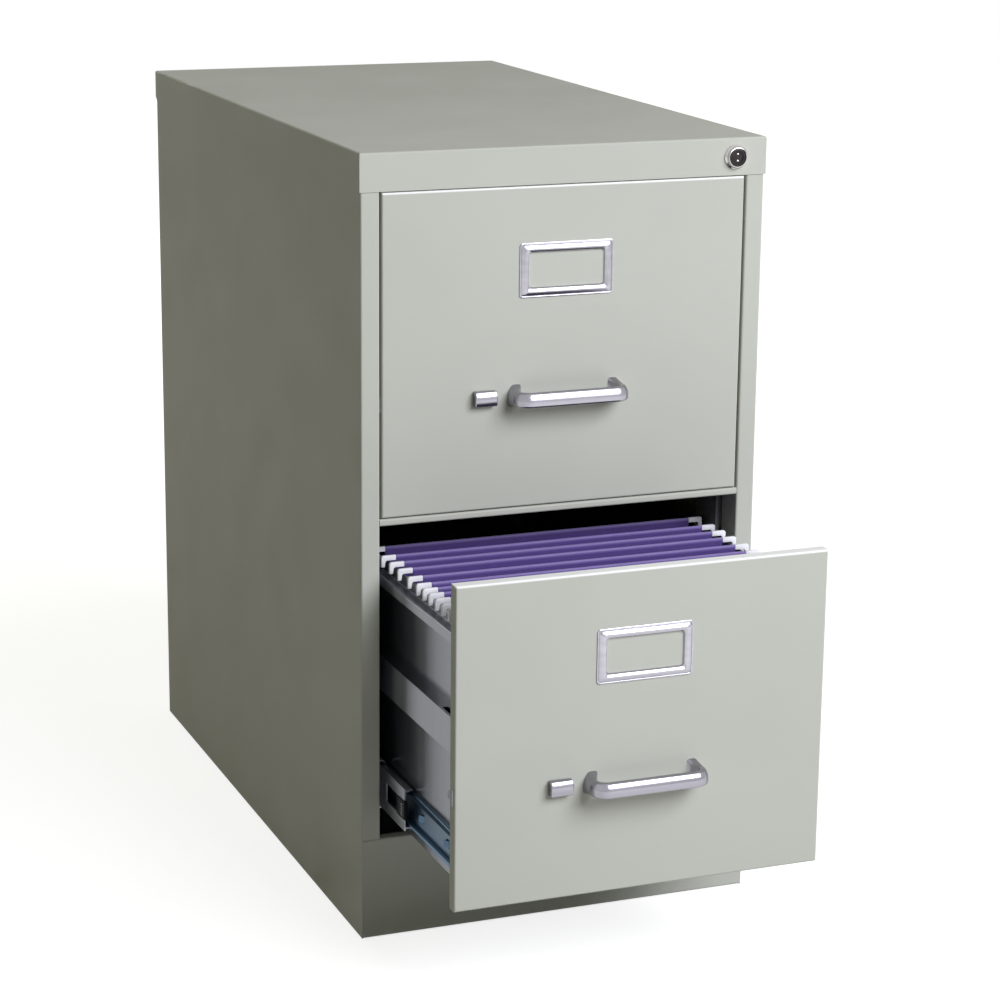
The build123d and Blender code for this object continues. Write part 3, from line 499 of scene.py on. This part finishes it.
def label_frame(drawer):
    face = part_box(drawer + "_front")[0].y
    low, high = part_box(drawer + "_label_holder")
    centre = (low.z + high.z) / 2
    shape = bmesh.new()
    place = Matrix.Translation((0, face, centre)) @ Matrix.Rotation(math.radians(90), 4, "X")
    place = place @ Matrix.Diagonal((high.x - low.x, high.z - low.z, 1, 1))
    outline = bmesh.ops.create_grid(shape, x_segments=1, y_segments=1, size=0.5, matrix=place)["verts"]
    bmesh.ops.bevel(shape, geom=outline, offset=FRAME_CORNER, segments=6, profile=0.5, affect="VERTICES",
                    material=-1)
    bmesh.ops.delete(shape, geom=shape.faces[:], context="FACES_ONLY")
    loop = shape.edges[:]
    before = 0.0
    for inward, rise in FRAME_PROFILE:
        loop = edges_of(bmesh.ops.extrude_edge_only(shape, edges=loop)["geom"])
        step = (inward - before) * MM
        for v in {v for e in loop for v in e.verts}:
            v.co.x -= math.copysign(step, v.co.x)
            v.co.z -= math.copysign(step, v.co.z - centre)
            v.co.y = face - rise * MM
        before = inward
    made(drawer + "_label_frame", shape, chrome, drawer + "_drawer",
         drawer + "_label_holder", 50.0)


# Thumb latches

BUTTON_GAP = 0.3 * MM
BUTTON_ROUNDING = 0.9 * MM
# shares of the button's height between which its face stands upright
BUTTON_FACE = (0.72, 0.13)
UPPER_LEAN = 2.2 * MM
LOWER_LEAN = 1.3 * MM
STEM_HALF_WIDTH = 4.0 * MM
STEM_HALF_HEIGHT = 3.0 * MM


def thumb_latch(drawer):
    """A button whose upper and lower edges lean back from its upright face, on a stem through the front."""
    low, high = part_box(drawer + "_latch_button")
    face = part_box(drawer + "_front")[0].y
    back = face - BUTTON_GAP
    centre = (low.x + high.x) / 2
    middle = (low.z + high.z) / 2
    shape = bmesh.new()
    place = Matrix.Translation((centre, (low.y + back) / 2, middle))
    size = Matrix.Diagonal((high.x - low.x, back - low.y, high.z - low.z, 1.0))
    bmesh.ops.create_cube(shape, size=1.0, matrix=place @ size)
    for share in BUTTON_FACE:
        bmesh.ops.bisect_plane(shape, geom=shape.verts[:] + shape.edges[:] + shape.faces[:],
                               plane_co=(0, 0, low.z + share * (high.z - low.z)), plane_no=(0, 0, 1))
    for height, lean in ((high.z, UPPER_LEAN), (low.z, LOWER_LEAN)):
        rim = [v for v in shape.verts if v.co.y < low.y + TOUCH and abs(v.co.z - height) < TOUCH]
        bmesh.ops.translate(shape, verts=rim, vec=(0, lean, 0))
    rim = [e for e in shape.edges if e.is_manifold and e.calc_face_angle() > math.radians(40)]
    bmesh.ops.bevel(shape, geom=rim, offset=BUTTON_ROUNDING, segments=4, profile=0.5, affect="EDGES",
                    material=-1, clamp_overlap=True)
    rounded_block(shape, (centre - STEM_HALF_WIDTH, face - 1.5 * MM, middle - STEM_HALF_HEIGHT),
                  (centre + STEM_HALF_WIDTH, high.y, middle + STEM_HALF_HEIGHT), 0.3 * MM, 2)
    made(drawer + "_thumb_latch", shape, handle_chrome, drawer + "_latch",
         drawer + "_latch_button", 40.0)


for drawer in ("upper", "lower"):
    bow_handle(drawer)
    label_frame(drawer)
    thumb_latch(drawer)


# Lock

# millimetres from the lock's axis, and behind the cap's face
BEZEL_PROFILE = ((8.05, -4.3), (8.1, -5.0), (8.4, -5.3), (8.8, -5.2), (9.1, -4.7), (9.35, -2.8), (9.7, -2.1),
                 (10.5, -1.6), (10.95, -1.1), (11.0, 0.0), (8.45, 0.0), (8.45, 25.5), (6.6, 25.5),
                 (6.6, -0.6), (8.05, -0.6), (8.05, -4.3))
PLUG_DISH = (4.9, -3.7)
PLUG_PROFILE = ((5.2, -3.7), (5.5, -4.5), (7.2, -4.6), (7.75, -4.35), (7.9, -3.9), (7.9, -0.9), (6.45, -0.9))
PLUG_RADIUS = 6.45
KEYWAY_HALF_WIDTH = 0.75
KEYWAY_HALF_HEIGHT = 3.7
KEYWAY_DEPTH = 9.0 * MM
KEYWAY_END_OFFSET = 3.0 * MM


def lock_bezel(centre, face):
    shape = bmesh.new()
    turned(shape, [(radius * MM, face + depth * MM) for radius, depth in BEZEL_PROFILE], centre)
    made("lock_bezel", shape, nickel, "case", "lock_barrel", 32.0)


def lock_core(centre, face, middle):
    """The plug: a dished face with the keyway sunk in it, and a rim that steps down to the plug's body."""
    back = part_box("lock_plug")[1].y
    shape = bmesh.new()
    turn = Matrix.Translation(middle) @ Matrix.Rotation(math.radians(90), 4, "X")
    bmesh.ops.create_circle(shape, cap_ends=True, segments=ROUND_STEPS, radius=PLUG_DISH[0] * MM, matrix=turn)
    for normal, distance in (((1, 0, 0), KEYWAY_HALF_WIDTH), ((-1, 0, 0), KEYWAY_HALF_WIDTH),
                             ((0, 0, 1), KEYWAY_HALF_HEIGHT), ((0, 0, -1), KEYWAY_HALF_HEIGHT)):
        point = middle + Vector(normal) * distance * MM
        bmesh.ops.bisect_plane(shape, geom=shape.verts[:] + shape.edges[:] + shape.faces[:],
                               plane_co=point, plane_no=normal)
    keyway = [f for f in shape.faces if (f.calc_center_median() - middle).length < 0.5 * MM]
    rim = [e for e in shape.edges if e.is_boundary]
    before = PLUG_DISH
    for radius, depth in (*PLUG_PROFILE, (PLUG_RADIUS, (back - face) / MM)):
        grown = bmesh.ops.extrude_edge_only(shape, edges=rim)["geom"]
        ring = points_of(grown)
        rim = edges_of(grown)
        grow = radius / before[0]
        bmesh.ops.scale(shape, vec=(grow, 1, grow), verts=ring,
                        space=Matrix.Translation((-centre.x, 0, -centre.z)))
        bmesh.ops.translate(shape, verts=ring, vec=(0, (depth - before[1]) * MM, 0))
        before = (radius, depth)
    bmesh.ops.contextual_create(shape, geom=rim)
    extended(shape, keyway, (0, KEYWAY_DEPTH, 0))
    made("lock_core", shape, plug_metal, "lock_plug", "lock_plug", 30.0)


def lock_keyway_ends(centre, middle):
    """The two bright ends of the keyway."""
    shape = bmesh.new()
    for side in (-1, 1):
        z = centre.z + side * KEYWAY_END_OFFSET
        rounded_block(shape, (centre.x - 1.0 * MM, middle.y - 0.9 * MM, z - 0.9 * MM),
                      (centre.x + 1.0 * MM, middle.y + 2.0 * MM, z + 0.9 * MM), 0.5 * MM, 3)
    made("lock_keyway_ends", shape, nickel, "lock_plug", None, 40.0)


def lock():
    low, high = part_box("lock_barrel")
    centre = Vector(((low.x + high.x) / 2, 0.0, (low.z + high.z) / 2))
    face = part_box("top_cover")[0].y
    middle = Vector((centre.x, face + PLUG_DISH[1] * MM, centre.z))
    lock_bezel(centre, face)
    lock_core(centre, face, middle)
    lock_keyway_ends(centre, middle)


# Screws

SCREW_RISE = 2.5
# millimetres from the screw's axis, and above the seat of its head
SCREW_PROFILE = ((0.0, SCREW_RISE), (1.5, SCREW_RISE * 0.97), (2.8, SCREW_RISE * 0.8), (3.6, SCREW_RISE * 0.5),
                 (4.0, SCREW_RISE * 0.12), (4.0, 0.0), (1.9, 0.0), (1.9, -5.5), (0.0, -6.0))
RECESS_DEPTH = 1.1 * MM


def screw_head(shape, place):
    """Adds a domed screw head with its shank to a shape. The head's top looks along the place's Z axis."""
    new = bmesh.new()
    points = [new.verts.new((r * MM, 0, z * MM)) for r, z in SCREW_PROFILE]
    edges = [new.edges.new(pair) for pair in zip(points, points[1:])]
    bmesh.ops.spin(new, geom=points + edges, cent=(0, 0, 0), axis=(0, 0, 1), angle=math.tau, steps=32,
                   use_merge=True)
    bmesh.ops.remove_doubles(new, verts=new.verts, dist=TOUCH / 10)
    recess = [f for f in new.faces if f.calc_center_median().z > SCREW_RISE * 0.96 * MM]
    bmesh.ops.inset_region(new, faces=recess, thickness=0.45 * MM)
    bmesh.ops.translate(new, verts=list({v for f in recess for v in f.verts}), vec=(0, 0, -RECESS_DEPTH))
    bmesh.ops.transform(new, matrix=place, verts=new.verts)
    added(shape, new, "screw_head")


def drawer_screws(drawer):
    """One screw in each side of the drawer, and one behind each foot of the handle."""
    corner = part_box(drawer + "_front")[0]
    shape = bmesh.new()
    for side in (-1, 1):
        place = Matrix.Translation((side * 156.0 * MM, corner.y + 47.0 * MM, corner.z + 87.0 * MM))
        screw_head(shape, place @ Matrix.Rotation(math.radians(90 * side), 4, "Y"))
        place = Matrix.Translation((side * 48.0 * MM, corner.y + 0.9 * MM, corner.z + 101.0 * MM))
        screw_head(shape, place @ Matrix.Rotation(math.radians(-90), 4, "X"))
    made(drawer + "_screw_heads", shape, zinc, drawer + "_drawer", drawer + "_screws", 30.0)


# Bumpers of the slides

RIB_PLACES = (-4.8, -2.4, 0.0, 2.4, 4.8)
RIB_HALF_HEIGHT = 0.45


def slide_bumpers(drawer):
    """Black clips on the ends of the middle members, with a row of plain ribs on their outer faces."""
    low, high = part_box(drawer + "_slide_bumpers")
    outside = -high.x
    middle = (low.z + high.z) / 2
    shape = bmesh.new()
    rounded_block(shape, (outside, low.y, low.z), (outside + 3.9 * MM, low.y + 3.0 * MM, high.z), 0.7 * MM, 3)
    rounded_block(shape, (outside, low.y + 2.6 * MM, low.z), (outside + 1.5 * MM, high.y, high.z), 0.5 * MM, 3)
    mirrored(shape)
    made(drawer + "_bumper_clips", shape, black, drawer + "_slide_middles",
         drawer + "_slide_bumpers")

    shape = bmesh.new()
    for height in RIB_PLACES:
        rounded_block(shape,
                      (outside - 0.25 * MM, low.y + 4.4 * MM, middle + (height - RIB_HALF_HEIGHT) * MM),
                      (outside + 0.6 * MM, low.y + 11.6 * MM, middle + (height + RIB_HALF_HEIGHT) * MM),
                      0.2 * MM, 2)
    mirrored(shape)
    made(drawer + "_bumper_springs", shape, zinc, drawer + "_slide_middles")


# Hanging folders

# millimetres behind the drawer's front, two rods to a folder
ROD_PLACES = (237.0, 208.0, 186.0, 164.0, 138.0, 116.0, 100.0, 85.0, 69.0, 53.0, 37.0, 21.0)
HOOK_HALF_THICKNESS = 1.6 * MM
ROD_HALF_LENGTH = 149.6 * MM
ROD_HALF_THICKNESS = 0.45 * MM
HEM = 1.9 * MM
HEM_DEPTH = 9.0 * MM
FOLD_HALF_WIDTH = 1.4 * MM
CARD_THICKNESS = 0.5 * MM
FOLDER_STRIPS = 30


def folder_hooks():
    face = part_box("lower_front")[0].y
    low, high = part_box("folder_hangers")
    top = high.z
    arm = low.z + 5.9 * MM
    # millimetres from the cabinet's middle, and the height
    outline = ((149.3, top), (163.0, top), (163.0, low.z), (159.8, low.z), (159.2, arm - 1.0 * MM),
               (158.0, arm), (149.3, arm))
    shape = bmesh.new()
    for place in ROD_PLACES:
        y = face + place * MM
        corners = [shape.verts.new((x * MM, y - HOOK_HALF_THICKNESS, z)) for x, z in outline]
        extended(shape, [shape.faces.new(corners)], (0, 2 * HOOK_HALF_THICKNESS, 0))
        shape.normal_update()
    bmesh.ops.recalc_face_normals(shape, faces=shape.faces)
    bmesh.ops.holes_fill(shape, edges=[e for e in shape.edges if e.is_boundary], sides=0)
    outer = [e for e in shape.edges
             if all(v.co.x > high.x - 0.5 * MM and v.co.z > top - TOUCH for v in e.verts)]
    bmesh.ops.bevel(shape, geom=outer, offset=2.2 * MM, segments=4, profile=0.5, affect="EDGES", material=-1)
    edges = [e for e in shape.edges if e.is_manifold and e.calc_face_angle() > math.radians(40)]
    bmesh.ops.bevel(shape, geom=edges, offset=0.55 * MM, segments=2, profile=0.5, affect="EDGES", material=-1,
                    clamp_overlap=True)
    mirrored(shape)
    made("folder_hooks", shape, white, "lower_drawer", "folder_hangers")

    shape = bmesh.new()
    for place in ROD_PLACES:
        y = face + place * MM
        rounded_block(shape, (-ROD_HALF_LENGTH, y - ROD_HALF_THICKNESS, top - 7.5 * MM),
                      (ROD_HALF_LENGTH, y + ROD_HALF_THICKNESS, top - 1.5 * MM), 0.2 * MM, 1)
    made("folder_rods", shape, wire, "lower_drawer", "folder_hangers")


def one_folder(back, ahead, low, high, turn):
    """Hangs a sheet of card over two rods. The turn tells its waves from its neighbours'."""
    top = high.z - 0.2 * MM
    bottom = low.z + 0.4 * MM
    middle = (back + ahead) / 2
    path = ((back - HEM * 0.85, top - HEM_DEPTH), (back - HEM, top), (back + HEM, top),
            (middle + FOLD_HALF_WIDTH, bottom), (middle - FOLD_HALF_WIDTH, bottom),
            (ahead - HEM, top), (ahead + HEM, top), (ahead + HEM * 0.85, top - HEM_DEPTH))
    folder = bmesh.new()
    points = [folder.verts.new((-high.x, y, z)) for y, z in path]
    line = [folder.edges.new(pair) for pair in zip(points, points[1:])]
    for _ in range(FOLDER_STRIPS):
        grown = bmesh.ops.extrude_edge_only(folder, edges=line)["geom"]
        line = edges_of(grown)
        bmesh.ops.translate(folder, verts=points_of(grown), vec=(2 * high.x / FOLDER_STRIPS, 0, 0))
    creases = [e for e in folder.edges if len(e.link_faces) == 2 and e.calc_face_angle() > math.radians(20)
               and abs(e.verts[0].co.x - e.verts[1].co.x) > MM]
    bmesh.ops.bevel(folder, geom=creases, offset=1.7 * MM, segments=5, profile=0.5, affect="EDGES",
                    material=-1, clamp_overlap=True)
    long_edges = [e for e in folder.edges if abs(e.verts[0].co.z - e.verts[1].co.z) > 50.0 * MM]
    bmesh.ops.subdivide_edges(folder, edges=long_edges, cuts=10, use_grid_fill=True)
    for v in folder.verts:
        hang = (top - v.co.z) / (top - bottom)
        wave = math.sin(v.co.x * 21.0 + turn * 1.7) * 0.5 + math.sin(v.co.x * 47.0 + turn * 2.9) * 0.2
        ripple = math.sin(v.co.x * 33.0 + turn) * 0.12 * MM
        v.co.y += wave * 0.9 * MM * (1.0 - (2 * hang - 1.0) ** 2) + ripple
    bmesh.ops.recalc_face_normals(folder, faces=folder.faces)
    bmesh.ops.solidify(folder, geom=folder.faces[:], thickness=CARD_THICKNESS)
    return folder


def hanging_folders():
    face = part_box("lower_front")[0].y
    low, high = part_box("folders")
    shape = bmesh.new()
    for i in range(0, len(ROD_PLACES), 2):
        back = face + ROD_PLACES[i] * MM
        ahead = face + ROD_PLACES[i + 1] * MM
        added(shape, one_folder(back, ahead, low, high, i), "one_folder")
    made("hanging_folders", shape, card, "lower_drawer", "folders", 60.0)


lock()
for drawer in ("upper", "lower"):
    drawer_screws(drawer)
    slide_bumpers(drawer)
folder_hooks()
hanging_folders()


# Floor, light and surroundings

def softbox(name, place, aim, size, power, colour):
    lamp = bpy.data.lights.new(name, "AREA")
    lamp.shape = "RECTANGLE"
    lamp.size = size[0]
    lamp.size_y = size[1]
    lamp.energy = power
    lamp.color = colour
    holder = bpy.data.objects.new(name, lamp)
    holder.visible_camera = False
    scene.collection.objects.link(holder)
    direction = Vector(aim) - Vector(place)
    holder.location = place
    holder.rotation_euler = direction.to_track_quat("-Z", "Y").to_euler()


FLOOR_HALF_SIZE = 6.0
FLOOR_DROP = 0.5 * MM
# the floor's glow, and the distances in metres from the origin at which it has these strengths
NEAR_GLOW, FAR_GLOW = 0.80, 1.0
GLOW_NEAR, GLOW_FAR = 0.7, 1.8


def floor():
    """A pale floor that turns white with distance for the camera, mirrors and glass, but not under the case."""
    shape = bmesh.new()
    bmesh.ops.create_grid(shape, x_segments=1, y_segments=1, size=FLOOR_HALF_SIZE,
                          matrix=Matrix.Translation((0, 0, -FLOOR_DROP)))
    mesh = bpy.data.meshes.new("studio_floor")
    shape.to_mesh(mesh)
    shape.free()
    ground = bpy.data.objects.new("studio_floor", mesh)
    scene.collection.objects.link(ground)
    finish = Finish("studio_paper", (0.50, 0.50, 0.48), 0.9)
    finish.coloured(finish.blended(finish.noise(3.0, 2.0), (0.49, 0.49, 0.47), (0.51, 0.51, 0.49)))
    rays = finish.nodes.new("ShaderNodeLightPath").outputs
    seen = finish.maths("MAXIMUM", rays["Is Camera Ray"], rays["Is Glossy Ray"])
    seen = finish.maths("MAXIMUM", seen, rays["Is Transmission Ray"])
    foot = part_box("side_panel_left")[0]
    reach = finish.nodes.new("ShaderNodeVectorMath")
    reach.operation = "ABSOLUTE"
    finish.links.new(finish.stretched((-1 / foot.x, -1 / foot.y, 0.0)), reach.inputs[0])
    parts = finish.nodes.new("ShaderNodeSeparateXYZ")
    finish.links.new(reach.outputs["Vector"], parts.inputs[0])
    farther = finish.maths("MAXIMUM", parts.outputs["X"], parts.outputs["Y"])
    distance = finish.nodes.new("ShaderNodeVectorMath")
    distance.operation = "LENGTH"
    finish.links.new(finish.place, distance.inputs[0])
    far = finish.spread(distance.outputs["Value"], NEAR_GLOW, FAR_GLOW, GLOW_NEAR, GLOW_FAR)
    outside_case = finish.spread(farther, 0.0, 1.0, 0.97, 1.0)
    glow = finish.maths("MULTIPLY", seen, finish.maths("MULTIPLY", far, outside_case))
    finish.shader.inputs["Emission Color"].default_value = (1.0, 1.0, 1.0, 1.0)
    finish.links.new(glow, finish.shader.inputs["Emission Strength"])
    mesh.materials.append(finish.material)


def surroundings():
    """Air that lights the object dimly and warmly, and is white to the camera, mirrors and glass."""
    world = bpy.data.worlds.new("studio_air")
    scene.world = world
    world.use_nodes = True
    tree = world.node_tree
    tree.nodes.clear()
    out = tree.nodes.new("ShaderNodeOutputWorld")
    mix = tree.nodes.new("ShaderNodeMixShader")
    dim = tree.nodes.new("ShaderNodeBackground")
    dim.inputs["Color"].default_value = (1.0, 0.98, 0.72, 1.0)
    dim.inputs["Strength"].default_value = 0.125
    plain = tree.nodes.new("ShaderNodeBackground")
    plain.inputs["Color"].default_value = (1.0, 1.0, 1.0, 1.0)
    plain.inputs["Strength"].default_value = 1.0
    rays = tree.nodes.new("ShaderNodeLightPath")
    seen = tree.nodes.new("ShaderNodeMath")
    seen.operation = "MAXIMUM"
    tree.links.new(rays.outputs["Is Camera Ray"], seen.inputs[0])
    tree.links.new(rays.outputs["Is Transmission Ray"], seen.inputs[1])
    shown = tree.nodes.new("ShaderNodeMath")
    shown.operation = "MAXIMUM"
    tree.links.new(seen.outputs[0], shown.inputs[0])
    tree.links.new(rays.outputs["Is Glossy Ray"], shown.inputs[1])
    tree.links.new(shown.outputs[0], mix.inputs[0])
    tree.links.new(dim.outputs[0], mix.inputs[1])
    tree.links.new(plain.outputs[0], mix.inputs[2])
    tree.links.new(mix.outputs[0], out.inputs["Surface"])


floor()
surroundings()
softbox("key_light", (1.0, -2.45, 1.85), (0.0, -0.3, 0.35), (1.9, 1.5), 84.0, (0.965, 0.98, 1.10))
softbox("back_light", (-0.6, 3.4, 1.2), (0.0, 0.3, 0.35), (1.6, 1.3), 20.0, (1.0, 1.0, 0.85))
scene.view_settings.view_transform = "Standard"
